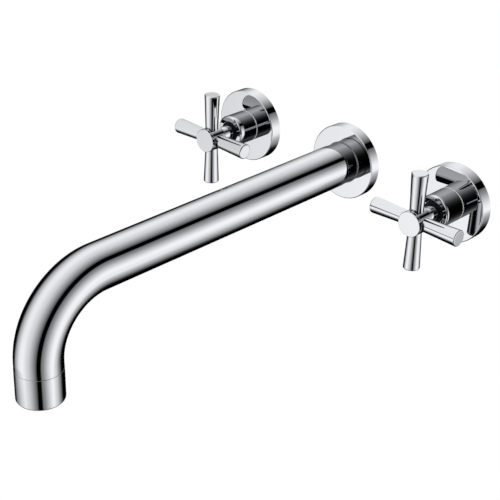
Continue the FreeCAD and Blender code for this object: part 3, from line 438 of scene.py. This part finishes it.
def sweepTree():  # a bent tube along a route, with a bore and closed ends
    tree, start, end = geometryTree("spoutSweep", {
        "Tube Radius": "Float", "Bore Radius": "Float", "Bend Radius": "Float",
        "Bend Steps": "Int", "Ring Steps": "Int", "Material": "Material"})
    route = addNode(tree, "MeshToCurve", {"Mesh": start.outputs["Geometry"]})
    bent = addNode(tree, "FilletCurve", {
        "Curve": route.outputs["Curve"], "Radius": start.outputs["Bend Radius"],
        "Count": start.outputs["Bend Steps"]}, mode="POLY")
    rim = addNode(tree, "InputNamedAttribute", {"Name": "rim"}, data_type="FLOAT")
    outside = addNode(tree, "SetCurveRadius", {
        "Curve": bent.outputs["Curve"], "Radius": rim.outputs["Attribute"]})
    inside = addNode(tree, "SetCurveRadius", {"Curve": bent.outputs["Curve"], "Radius": 1.0})
    walls = []
    for curve, label in ((outside, "Tube Radius"), (inside, "Bore Radius")):
        ring = addNode(tree, "CurvePrimitiveCircle", {
            "Resolution": start.outputs["Ring Steps"], "Radius": start.outputs[label]})
        wall = addNode(tree, "CurveToMesh", {
            "Curve": curve.outputs["Curve"], "Profile Curve": ring.outputs["Curve"]})
        walls.append(wall.outputs["Mesh"])
    flipped = addNode(tree, "FlipFaces", {"Mesh": walls[1]})
    both = addNode(tree, "JoinGeometry", {})
    tree.links.new(walls[0], both.inputs["Geometry"])
    tree.links.new(flipped.outputs["Mesh"], both.inputs["Geometry"])
    closed = addNode(tree, "MergeByDistance", {
        "Geometry": both.outputs["Geometry"], "Distance": 2e-6})
    smooth = addNode(tree, "SetShadeSmooth", {"Geometry": closed.outputs["Geometry"]})
    endTree(tree, smooth.outputs["Geometry"], start.outputs["Material"], end)
    return tree


spout = {"radius": 16.25, "bore": 14.75, "back": 19.8, "bend": 50, "seam": -54.3,
         "round": 1.0, "roundSteps": 8, "edge": 0.15, "face": 0.01,
         "bendSteps": 64, "ringSteps": 192}


def spoutRoute():  # straight out, then straight down, with the rim's share of the radius
    radius, lip, edge, face = (spout[key] for key in ("radius", "round", "edge", "face"))
    boreShare = spout["bore"] / radius
    head = [(0, boreShare)]  # distance from the back end
    for step in range(spout["roundSteps"] + 1):
        angle = math.radians(90 * step / spout["roundSteps"])
        share = 1 - (lip - lip * math.sin(angle)) / radius
        head.append((face + lip * (1 - math.cos(angle)), share))
    head += [(lip + 0.1, 1), (lip + 0.5, 1), (lip + 3, 1)]
    tail = [(2, 1), (edge + 0.2, 1), (edge, 1), (edge / 2, 1 - edge * 0.14 / radius),
            (face, 1 - edge * 0.8 / radius), (0, boreShare)]  # distance above the seam
    points = [(Vector((0, -(spout["back"] + along) * mm, 0)), share) for along, share in head]
    points.append((Vector((0, -spoutReach * mm, 0)), 1))
    points += [(Vector((0, -spoutReach * mm, (spout["seam"] + above) * mm)), share)
               for above, share in tail]
    edges = [(k, k + 1) for k in range(len(points) - 1)]
    mesh = bpy.data.meshes.new("spoutRoute")
    mesh.from_pydata([spot for spot, share in points], edges, [])
    rim = mesh.attributes.new("rim", "FLOAT", "POINT")
    rim.data.foreach_set("value", [share for spot, share in points])
    return mesh


tube = runTree("spoutTube", spoutRoute(), sweepTree(), {
    "Tube Radius": spout["radius"] * mm, "Bore Radius": spout["bore"] * mm,
    "Bend Radius": spout["bend"] * mm, "Bend Steps": spout["bendSteps"],
    "Ring Steps": spout["ringSteps"], "Material": finishes["chrome"]})
addPiece(tube, "chrome", "wall_set", ["spout_tube"])


def crossTree():  # copies of one arm round the hub
    tree, start, end = geometryTree("armCross", {
        "Count": "Int", "Hub Centre": "Vector", "Material": "Material"})
    spots = addNode(tree, "MeshLine", {"Count": start.outputs["Count"], "Offset": (0, 0, 0)})
    index = addNode(tree, "InputIndex", {})
    share = calc(tree, "DIVIDE", 2 * math.pi, start.outputs["Count"])
    angle = calc(tree, "MULTIPLY", index.outputs["Index"], share)
    turn = addNode(tree, "ShaderNodeCombineXYZ", {"Y": angle})
    arms = addNode(tree, "InstanceOnPoints", {
        "Points": spots.outputs["Mesh"], "Instance": start.outputs["Geometry"],
        "Rotation": turn.outputs["Vector"]})
    moved = addNode(tree, "Transform", {
        "Geometry": arms.outputs["Instances"], "Translation": start.outputs["Hub Centre"]})
    endTree(tree, moved.outputs["Geometry"], start.outputs["Material"], end)
    return tree


arm = {"rootRadius": 5, "rootAt": 6, "tipRadius": 6.15, "reach": 37, "round": 1.0,
       "plane": 48.8, "segments": 128, "ways": ("top", "right", "bottom", "left")}
armCorners = [(0, arm["rootAt"]), (arm["rootRadius"], arm["rootAt"]),
              (arm["tipRadius"], arm["reach"], arm["round"]), (0, arm["reach"])]
cross = crossTree()
for side, x in handles.items():
    oneArm = turnedMesh("oneArm", armCorners, upright(0), arm["segments"])
    arms = runTree(side + "Arms", oneArm, cross, {
        "Count": len(arm["ways"]), "Hub Centre": (x * mm, -arm["plane"] * mm, 0),
        "Material": finishes["chrome"]})
    addPiece(arms, "chrome", side + "_handle", [f"{side}_arm_{way}" for way in arm["ways"]])
print("spout and arms ready")


def combTree():  # cells in staggered rows, kept where they lie inside a circle
    tree, start, end = geometryTree("honeycomb", {
        "Pitch": "Float", "Rows": "Int", "Reach": "Float", "Centre": "Vector",
        "Material": "Material"})
    pitch, rows = start.outputs["Pitch"], start.outputs["Rows"]
    wide = calc(tree, "MULTIPLY", calc(tree, "SUBTRACT", rows, 1.0), pitch)
    tall = calc(tree, "MULTIPLY", wide, math.sqrt(0.75))
    grid = addNode(tree, "MeshGrid", {
        "Size X": wide, "Size Y": tall, "Vertices X": rows, "Vertices Y": rows})
    index = addNode(tree, "InputIndex", {})
    odd = calc(tree, "MODULO", index.outputs["Index"], 2.0)
    shift = calc(tree, "MULTIPLY", odd, calc(tree, "MULTIPLY", pitch, 0.5))
    offset = addNode(tree, "ShaderNodeCombineXYZ", {"X": shift})
    staggered = addNode(tree, "SetPosition", {
        "Geometry": grid.outputs["Mesh"], "Offset": offset.outputs["Vector"]})
    place = addNode(tree, "InputPosition", {})
    away = addNode(tree, "ShaderNodeVectorMath", {
        0: place.outputs["Position"]}, operation="LENGTH")
    outside = addNode(tree, "FunctionNodeCompare", {
        0: away.outputs["Value"], 1: start.outputs["Reach"]}, operation="GREATER_THAN")
    kept = addNode(tree, "DeleteGeometry", {
        "Geometry": staggered.outputs["Geometry"], "Selection": outside.outputs["Result"]})
    filled = addNode(tree, "InstanceOnPoints", {
        "Points": kept.outputs["Geometry"], "Instance": start.outputs["Geometry"]})
    moved = addNode(tree, "Transform", {
        "Geometry": filled.outputs["Instances"], "Translation": start.outputs["Centre"]})
    endTree(tree, moved.outputs["Geometry"], start.outputs["Material"], end)
    return tree


comb = {"pitch": 2.2, "wall": 0.4, "slit": 0.02, "rows": 12, "reach": 10.2, "bottom": -75.2,
        "top": -71.4, "rim": 11.95, "rimBore": 10.35, "rimTop": -62.6, "edge": 0.2, "round": 0.3}


def combCell():  # a six-sided tube
    verts, faces = [], []
    for across in (comb["pitch"] - comb["slit"], comb["pitch"] - comb["wall"]):
        for z in (comb["bottom"], comb["top"]):
            for k in range(6):
                angle = math.radians(30 + 60 * k)
                spoke = Vector((math.cos(angle) * across, math.sin(angle) * across, 0))
                verts.append(spoke * mm / math.sqrt(3) + Vector((0, 0, z * mm)))
    for k in range(6):
        n = (k + 1) % 6
        faces += [(k, n, 6 + n, 6 + k), (12 + n, 12 + k, 18 + k, 18 + n),
                  (n, k, 12 + k, 12 + n), (6 + k, 6 + n, 18 + n, 18 + k)]
    mesh = bpy.data.meshes.new("combCell")
    mesh.from_pydata(verts, [], faces)
    return mesh


cellsMesh = runTree("aeratorComb", combCell(), combTree(), {
    "Pitch": comb["pitch"] * mm, "Rows": comb["rows"], "Reach": comb["reach"] * mm,
    "Centre": (0, -spoutReach * mm, 0), "Material": finishes["plastic"]})
addPiece(cellsMesh, "plastic", "wall_set", [])
combRim = [(comb["rimBore"], comb["bottom"], comb["edge"]),
           (comb["rim"], comb["bottom"], comb["round"]),
           (comb["rim"], comb["rimTop"], comb["edge"]),
           (comb["rimBore"], comb["rimTop"], comb["edge"])]
turnedPiece("aeratorRim", combRim, upright(-spoutReach), "plastic", "wall_set", "aerator_insert")


def threadTree():  # a grid rolled into a screw thread that runs out at both ends
    tree, start, end = geometryTree("screwThread", {
        "Crest": "Float", "Depth": "Float", "Pitch": "Float", "Length": "Float",
        "Start": "Vector", "Steps Round": "Int", "Steps Along": "Int", "Material": "Material"})
    pitch, length = start.outputs["Pitch"], start.outputs["Length"]
    grid = addNode(tree, "MeshGrid", {
        "Size X": 1.0, "Size Y": 1.0, "Vertices X": start.outputs["Steps Round"],
        "Vertices Y": start.outputs["Steps Along"]})
    place = addNode(tree, "InputPosition", {})
    axes = addNode(tree, "ShaderNodeSeparateXYZ", {"Vector": place.outputs["Position"]})
    turn = calc(tree, "ADD", axes.outputs["X"], 0.5)
    along = calc(tree, "MULTIPLY", calc(tree, "ADD", axes.outputs["Y"], 0.5), length)
    angle = calc(tree, "MULTIPLY", turn, 2 * math.pi)
    turns = calc(tree, "SUBTRACT", calc(tree, "DIVIDE", along, pitch), turn)
    groove = calc(tree, "MULTIPLY", calc(tree, "PINGPONG", turns, 0.5), 2.0)
    toEnd = calc(tree, "MINIMUM", along, calc(tree, "SUBTRACT", length, along))
    runOut = calc(tree, "MINIMUM", calc(tree, "DIVIDE", toEnd, pitch), 1.0)
    deepest = calc(tree, "MULTIPLY", runOut, start.outputs["Depth"])
    cutDepth = calc(tree, "MULTIPLY", groove, deepest)
    radius = calc(tree, "SUBTRACT", start.outputs["Crest"], cutDepth)
    rolled = addNode(tree, "ShaderNodeCombineXYZ", {
        "X": calc(tree, "MULTIPLY", radius, calc(tree, "COSINE", angle)),
        "Y": calc(tree, "MULTIPLY", radius, calc(tree, "SINE", angle)), "Z": along})
    shaped = addNode(tree, "SetPosition", {
        "Geometry": grid.outputs["Mesh"], "Position": rolled.outputs["Vector"]})
    closed = addNode(tree, "MergeByDistance", {
        "Geometry": shaped.outputs["Geometry"], "Distance": 1e-6})
    moved = addNode(tree, "Transform", {
        "Geometry": closed.outputs["Geometry"], "Translation": start.outputs["Start"]})
    endTree(tree, moved.outputs["Geometry"], start.outputs["Material"], end)
    return tree


thread = {"crest": 10.48, "depth": 1.0, "pitch": 1.814, "bottom": -45, "top": -21,
          "depthInWall": 53, "stepsRound": 73, "stepsAlong": 133, "plainWall": (10, 10.6),
          "lean": 0.1}
threads = threadTree()
inlets = {}  # new walls for the inlets of the valve bodies
for side, x in handles.items():
    seed = bpy.data.meshes.new("seed")
    inlets[side + "_valve_body"] = runTree(side + "Inlet", seed, threads, {
        "Crest": thread["crest"] * mm, "Depth": thread["depth"] * mm,
        "Pitch": thread["pitch"] * mm, "Length": (thread["top"] - thread["bottom"]) * mm,
        "Start": (x * mm, thread["depthInWall"] * mm, thread["bottom"] * mm),
        "Steps Round": thread["stepsRound"], "Steps Along": thread["stepsAlong"],
        "Material": finishes["brass"]})


def onInlet(face, x):  # part of the plain wall that the thread stands for
    spot = face.calc_center_median() / mm
    away = math.hypot(spot.x - x, spot.y - thread["depthInWall"])
    nearest, farthest = thread["plainWall"]
    if abs(face.normal.z) > thread["lean"] or not nearest < away < farthest:
        return False
    return thread["bottom"] < spot.z < thread["top"]


solder = {"radius": 8.3, "bead": 0.9, "depth": 33, "ends": (-74.6, -26, 26, 74.6),
          "ringSteps": 64, "beadSteps": 16}


def jointTree():  # the same ring of solder at every joint
    tree, start, end = geometryTree("solderRings", {
        "Ring Radius": "Float", "Bead": "Float", "Material": "Material"})
    circle = addNode(tree, "CurvePrimitiveCircle", {
        "Resolution": solder["ringSteps"], "Radius": start.outputs["Ring Radius"]})
    bead = addNode(tree, "CurvePrimitiveCircle", {
        "Resolution": solder["beadSteps"], "Radius": start.outputs["Bead"]})
    ring = addNode(tree, "CurveToMesh", {
        "Curve": circle.outputs["Curve"], "Profile Curve": bead.outputs["Curve"]})
    turned = addNode(tree, "Transform", {
        "Geometry": ring.outputs["Mesh"], "Rotation": (0, math.pi / 2, 0)})
    smooth = addNode(tree, "SetShadeSmooth", {"Geometry": turned.outputs["Geometry"]})
    spots = addNode(tree, "InstanceOnPoints", {
        "Points": start.outputs["Geometry"], "Instance": smooth.outputs["Geometry"]})
    endTree(tree, spots.outputs["Instances"], start.outputs["Material"], end)
    return tree


jointSpots = bpy.data.meshes.new("jointSpots")
jointSpots.from_pydata([(x * mm, solder["depth"] * mm, 0) for x in solder["ends"]], [], [])
joints = runTree("solderJoints", jointSpots, jointTree(), {
    "Ring Radius": solder["radius"] * mm, "Bead": solder["bead"] * mm,
    "Material": finishes["solder"]})
addPiece(joints, "stainless", "wall_set", [], "solder").visible_glossy = False
print("comb, threads and solder ready")


# the other CAD nodes as smooth copies with their slot's finish

smoothAngle = 28
weld = 1e-6


def smoothCopy(node):
    made = bmesh.new()
    made.from_mesh(frame["nodes"][node].data)
    made.transform(frame["nodes"][node].matrix_world)
    bmesh.ops.remove_doubles(made, verts=made.verts, dist=weld)
    if node in inlets:
        x = handles[node.split("_")[0]]
        plain = [face for face in made.faces if onInlet(face, x)]
        bmesh.ops.delete(made, geom=plain, context="FACES")
        made.from_mesh(inlets[node])
    for face in made.faces:
        face.smooth = True
    for edge in made.edges:
        edge.smooth = edge.calc_face_angle(0) < math.radians(smoothAngle)
    mesh = bpy.data.meshes.new(node + "Smooth")
    made.to_mesh(mesh)
    made.free()
    return mesh


bodies = frame["record"]["behaviour"]["bodies"]
bodyOf = {node: body for body, nodes in bodies.items() for node in nodes}
for row in frame["record"]["subparts"]:
    node = row["node"]
    if node not in shownNodes:
        copy = addPiece(smoothCopy(node), row["material_slot"], bodyOf[node], [node])
        copy.visible_glossy = node.endswith("dust_seal")  # the wall hides the rest from mirrors; the dust seal stays seen, a real seal whose near-black rubber also fills the sleeve's mouth as painted shade
print("pieces ready:", len(shownNodes))


# stage

paint = {"color": (0.9, 0.9, 0.9, 1), "rough": 0.9}


def paintedSurface(name):
    material, tree, shader = newMaterial(name, {})
    shader.inputs["Base Color"].default_value = paint["color"]
    shader.inputs["Roughness"].default_value = paint["rough"]
    return material, tree, shader


def wallSurface():  # white to the camera, see-through from behind
    material, tree, shader = paintedSurface("wallPaint")
    glow = addNode(tree, "ShaderNodeEmission", {})
    clear = addNode(tree, "ShaderNodeBsdfTransparent", {})
    path = addNode(tree, "ShaderNodeLightPath", {})
    facing = addNode(tree, "ShaderNodeNewGeometry", {})
    seen = addNode(tree, "ShaderNodeMixShader", {
        "Fac": path.outputs["Is Camera Ray"], 1: shader.outputs["BSDF"],
        2: glow.outputs["Emission"]})
    behind = addNode(tree, "ShaderNodeMixShader", {
        "Fac": facing.outputs["Backfacing"], 1: seen.outputs["Shader"],
        2: clear.outputs["BSDF"]})
    tree.links.new(behind.outputs["Shader"], tree.nodes["Material Output"].inputs["Surface"])
    return material


def stagePlane(name, corners, material):
    mesh = bpy.data.meshes.new(name)
    mesh.from_pydata(corners, [], [range(4)])
    mesh.materials.append(material)
    plane = bpy.data.objects.new(name, mesh)
    scene.collection.objects.link(plane)
    plane.visible_glossy = False


wideHalf, floorHeight, wallBehind = 3.0, -0.9, 0.0002  # metres
stagePlane("wall", [(-wideHalf, wallBehind, floorHeight), (wideHalf, wallBehind, floorHeight),
                    (wideHalf, wallBehind, wideHalf), (-wideHalf, wallBehind, wideHalf)],
           wallSurface())
stagePlane("floor", [(-wideHalf, -wideHalf, floorHeight), (wideHalf, -wideHalf, floorHeight),
                     (wideHalf, wideHalf, floorHeight), (-wideHalf, wideHalf, floorHeight)],
           paintedSurface("paleFloor")[0])


# camera

view = {"lens": 91.09, "sensor": 36, "clip": 0.01, "azimuth": 43.08, "elevation": 27.71,
        "roll": 1.66, "distance": 0.8407, "target": (0.052, -0.1646, 0)}
azimuth, elevation, roll = (math.radians(view[key]) for key in ("azimuth", "elevation", "roll"))
back = Vector((math.sin(azimuth) * math.cos(elevation),
               -math.cos(azimuth) * math.cos(elevation), math.sin(elevation)))
right = Vector((math.cos(azimuth), math.sin(azimuth), 0))
up = back.cross(right)
rolledRight = right * math.cos(roll) + up * math.sin(roll)
rolledUp = up * math.cos(roll) - right * math.sin(roll)
camera = bpy.data.objects.new("camera", bpy.data.cameras.new("camera"))
scene.collection.objects.link(camera)
camera.data.lens = view["lens"]
camera.data.sensor_width = view["sensor"]
camera.data.clip_start = view["clip"]
columns = Matrix((rolledRight, rolledUp, back)).transposed().to_4x4()
stand = Vector(view["target"]) + back * view["distance"]
camera.matrix_world = Matrix.Translation(stand) @ columns
scene.camera = camera
scene.view_settings.view_transform = "Standard"


# light

# bright and dark zones, by the angle between +X and a mirror that shows them to the camera
panels = [(0, 0.8), (12, 0.96), (16, 0.9), (32, 0.28), (37.5, 0.16), (39, 0), (47, 0),
          (48.5, 0.08), (66, 0.64), (80, 0.88), (88, 0.84), (104, 0.27), (107, 0.06), (111, 0),
          (127, 0), (132, 0.75)]
# how much of that is left low down and towards the wall
shade = [(0, 1), (0.1, 0.8), (0.25, 0.57), (0.45, 0.37), (0.75, 0.19), (0.9, 0.08), (1.05, 0.02),
         (1.2, 0)]
studio = {"facing": back, "down": 0.41, "towardsWall": 0.3, "fromWall": 0.75, "under": 0.23,
          "underShift": -0.16, "ahead": 4, "shadeScale": 0.8, "front": 1.06,
          "frontFrom": 0.93, "frontTo": 0.985, "contrast": 2.2, "second": 0.6, "even": 0.85}
secondMirror = 1.5  # glossy depth past which a mirror is seen in a mirror


def ramp(tree, value, stops):
    node = addNode(tree, "ShaderNodeValToRGB", {"Fac": value})
    marks = node.color_ramp.elements
    while len(marks) < len(stops):
        marks.new(1)
    for mark, (at, level) in zip(marks, stops):
        mark.position = at
        mark.color = (level, level, level, 1)
    return node.outputs["Color"]


def studioWorld():
    world = bpy.data.worlds.new("studio")
    world.use_nodes = True
    world.cycles.sampling_method = "NONE"  # even light needs none, and mirrors stay clean
    tree = world.node_tree
    coords = addNode(tree, "ShaderNodeTexCoord", {})
    lean = addNode(tree, "ShaderNodeVectorMath", {
        0: coords.outputs["Generated"], 1: studio["facing"]}, operation="ADD")
    normal = addNode(tree, "ShaderNodeVectorMath", {
        0: lean.outputs["Vector"]}, operation="NORMALIZE")
    axes = addNode(tree, "ShaderNodeSeparateXYZ", {"Vector": normal.outputs["Vector"]})
    x, y, z = (axes.outputs[axis] for axis in "XYZ")

    turn = calc(tree, "DIVIDE", calc(tree, "ARCCOSINE", x), math.pi)
    tone = ramp(tree, turn, [(at / 180, level) for at, level in panels])

    low = calc(tree, "DIVIDE", z, -studio["down"])
    near = calc(tree, "MAXIMUM", calc(tree, "DIVIDE", y, studio["towardsWall"]),
                calc(tree, "MULTIPLY", y, studio["fromWall"]))
    under = calc(tree, "MULTIPLY_ADD", z, -1 / studio["under"], studio["underShift"])
    ahead = calc(tree, "MULTIPLY_ADD", y, -studio["ahead"], -studio["ahead"])
    depth = calc(tree, "MAXIMUM", calc(tree, "ADD", low, near), calc(tree, "ADD", under, ahead))
    scale = studio["shadeScale"]  # keeps the last stop inside the ramp
    left = ramp(tree, calc(tree, "MULTIPLY", depth, scale),
                [(at * scale, level) for at, level in shade])

    front = ramp(tree, calc(tree, "MULTIPLY", y, -1),
                 [(studio["frontFrom"], 1), (studio["frontTo"], studio["front"])])
    level = calc(tree, "MULTIPLY", calc(tree, "MULTIPLY", tone, left), front)

    path = addNode(tree, "ShaderNodeLightPath", {})
    # a mirror seen in another mirror gets a darker, harsher world: painted shade on the sleeves
    # and collars
    again = calc(tree, "GREATER_THAN", path.outputs["Glossy Depth"], secondMirror)
    power = calc(tree, "MULTIPLY_ADD", again, studio["contrast"], 1)
    share = calc(tree, "MULTIPLY_ADD", again, studio["second"] - 1, 1)
    level = calc(tree, "MULTIPLY", calc(tree, "POWER", level, power), share)

    plain = twoTone(tree, path.outputs["Is Camera Ray"], [studio["even"]] * 3, (1, 1, 1))
    shown = addNode(tree, "ShaderNodeMix", {
        "Factor": path.outputs["Is Glossy Ray"], "A": plain, "B": level}, data_type="RGBA")
    tree.links.new(shown.outputs["Result"], tree.nodes["Background"].inputs["Color"])
    return world


scene.world = studioWorld()

lamp = {"power": 6, "size": 0.9, "place": (-0.6, -0.9, 1.1), "aim": (0, -0.15, 0)}
light = bpy.data.objects.new("softBox", bpy.data.lights.new("softBox", "AREA"))
scene.collection.objects.link(light)
light.data.energy = lamp["power"]
light.data.size = lamp["size"]
light.location = lamp["place"]
lampBack = Vector(lamp["place"]) - Vector(lamp["aim"])
light.rotation_euler = lampBack.to_track_quat("Z", "Y").to_euler()
light.visible_glossy = False


# a glowing panel beside the tube that only mirrors see, from one side and not through another
# mirror: no lamp, it paints a reflection onto the spout tube's side

def paintedReflectionSurface():
    material, tree, shader = newMaterial("panel", {})
    tree.nodes.remove(shader)
    material.cycles.emission_sampling = "NONE"  # not a lamp: it lights nothing and only shows as a painted reflection
    level = addNode(tree, "ShaderNodeAttribute", {}, attribute_name="level")
    fade = addNode(tree, "ShaderNodeAttribute", {}, attribute_name="fade")
    facing = addNode(tree, "ShaderNodeNewGeometry", {})
    path = addNode(tree, "ShaderNodeLightPath", {})
    again = calc(tree, "GREATER_THAN", path.outputs["Glossy Depth"], secondMirror)
    hidden = calc(tree, "MAXIMUM", facing.outputs["Backfacing"], fade.outputs["Fac"])
    glow = addNode(tree, "ShaderNodeEmission", {"Strength": level.outputs["Fac"]})
    clear = addNode(tree, "ShaderNodeBsdfTransparent", {})
    seen = addNode(tree, "ShaderNodeMixShader", {
        "Fac": calc(tree, "MAXIMUM", hidden, again), 1: glow.outputs["Emission"],
        2: clear.outputs["BSDF"]})
    tree.links.new(seen.outputs["Shader"], tree.nodes["Material Output"].inputs["Surface"])
    return material


sidePanel = {"x": 38, "start": -28, "end": -150, "fadeIn": 15, "fadeOut": 50,
             "strength": [(-30, 0.45), (-6, 0.95), (0, 0.95), (17, 0.36), (30, 0.15),
                          (32.5, 0), (49, 0)]}  # glow strengths by height, painted into the tube's reflection


def addPaintedReflection(look):
    ends = [(look["start"] + look["fadeIn"], 1), (look["start"], 0), (look["end"], 0),
            (look["end"] - look["fadeOut"], 1)]
    rows = len(look["strength"])
    verts = [Vector((look["x"], y, z)) * mm for z, level in look["strength"] for y, fade in ends]
    firsts = [4 * row + k for row in range(rows - 1) for k in range(3)]
    faces = [(first, first + 1, first + 5, first + 4) for first in firsts]
    mesh = bpy.data.meshes.new("sidePanel")
    mesh.from_pydata(verts, [], faces)
    levels = [level for z, level in look["strength"] for end in ends]
    fades = [fade for y, fade in ends] * rows
    for name, values in (("level", levels), ("fade", fades)):
        mesh.attributes.new(name, "FLOAT", "POINT").data.foreach_set("value", values)
    mesh.materials.append(paintedReflectionSurface())
    panel = bpy.data.objects.new("sidePanel", mesh)
    scene.collection.objects.link(panel)
    for ray in ("camera", "diffuse", "transmission", "volume_scatter", "shadow"):
        setattr(panel, "visible_" + ray, False)


addPaintedReflection(sidePanel)
print("stage, light and camera ready")
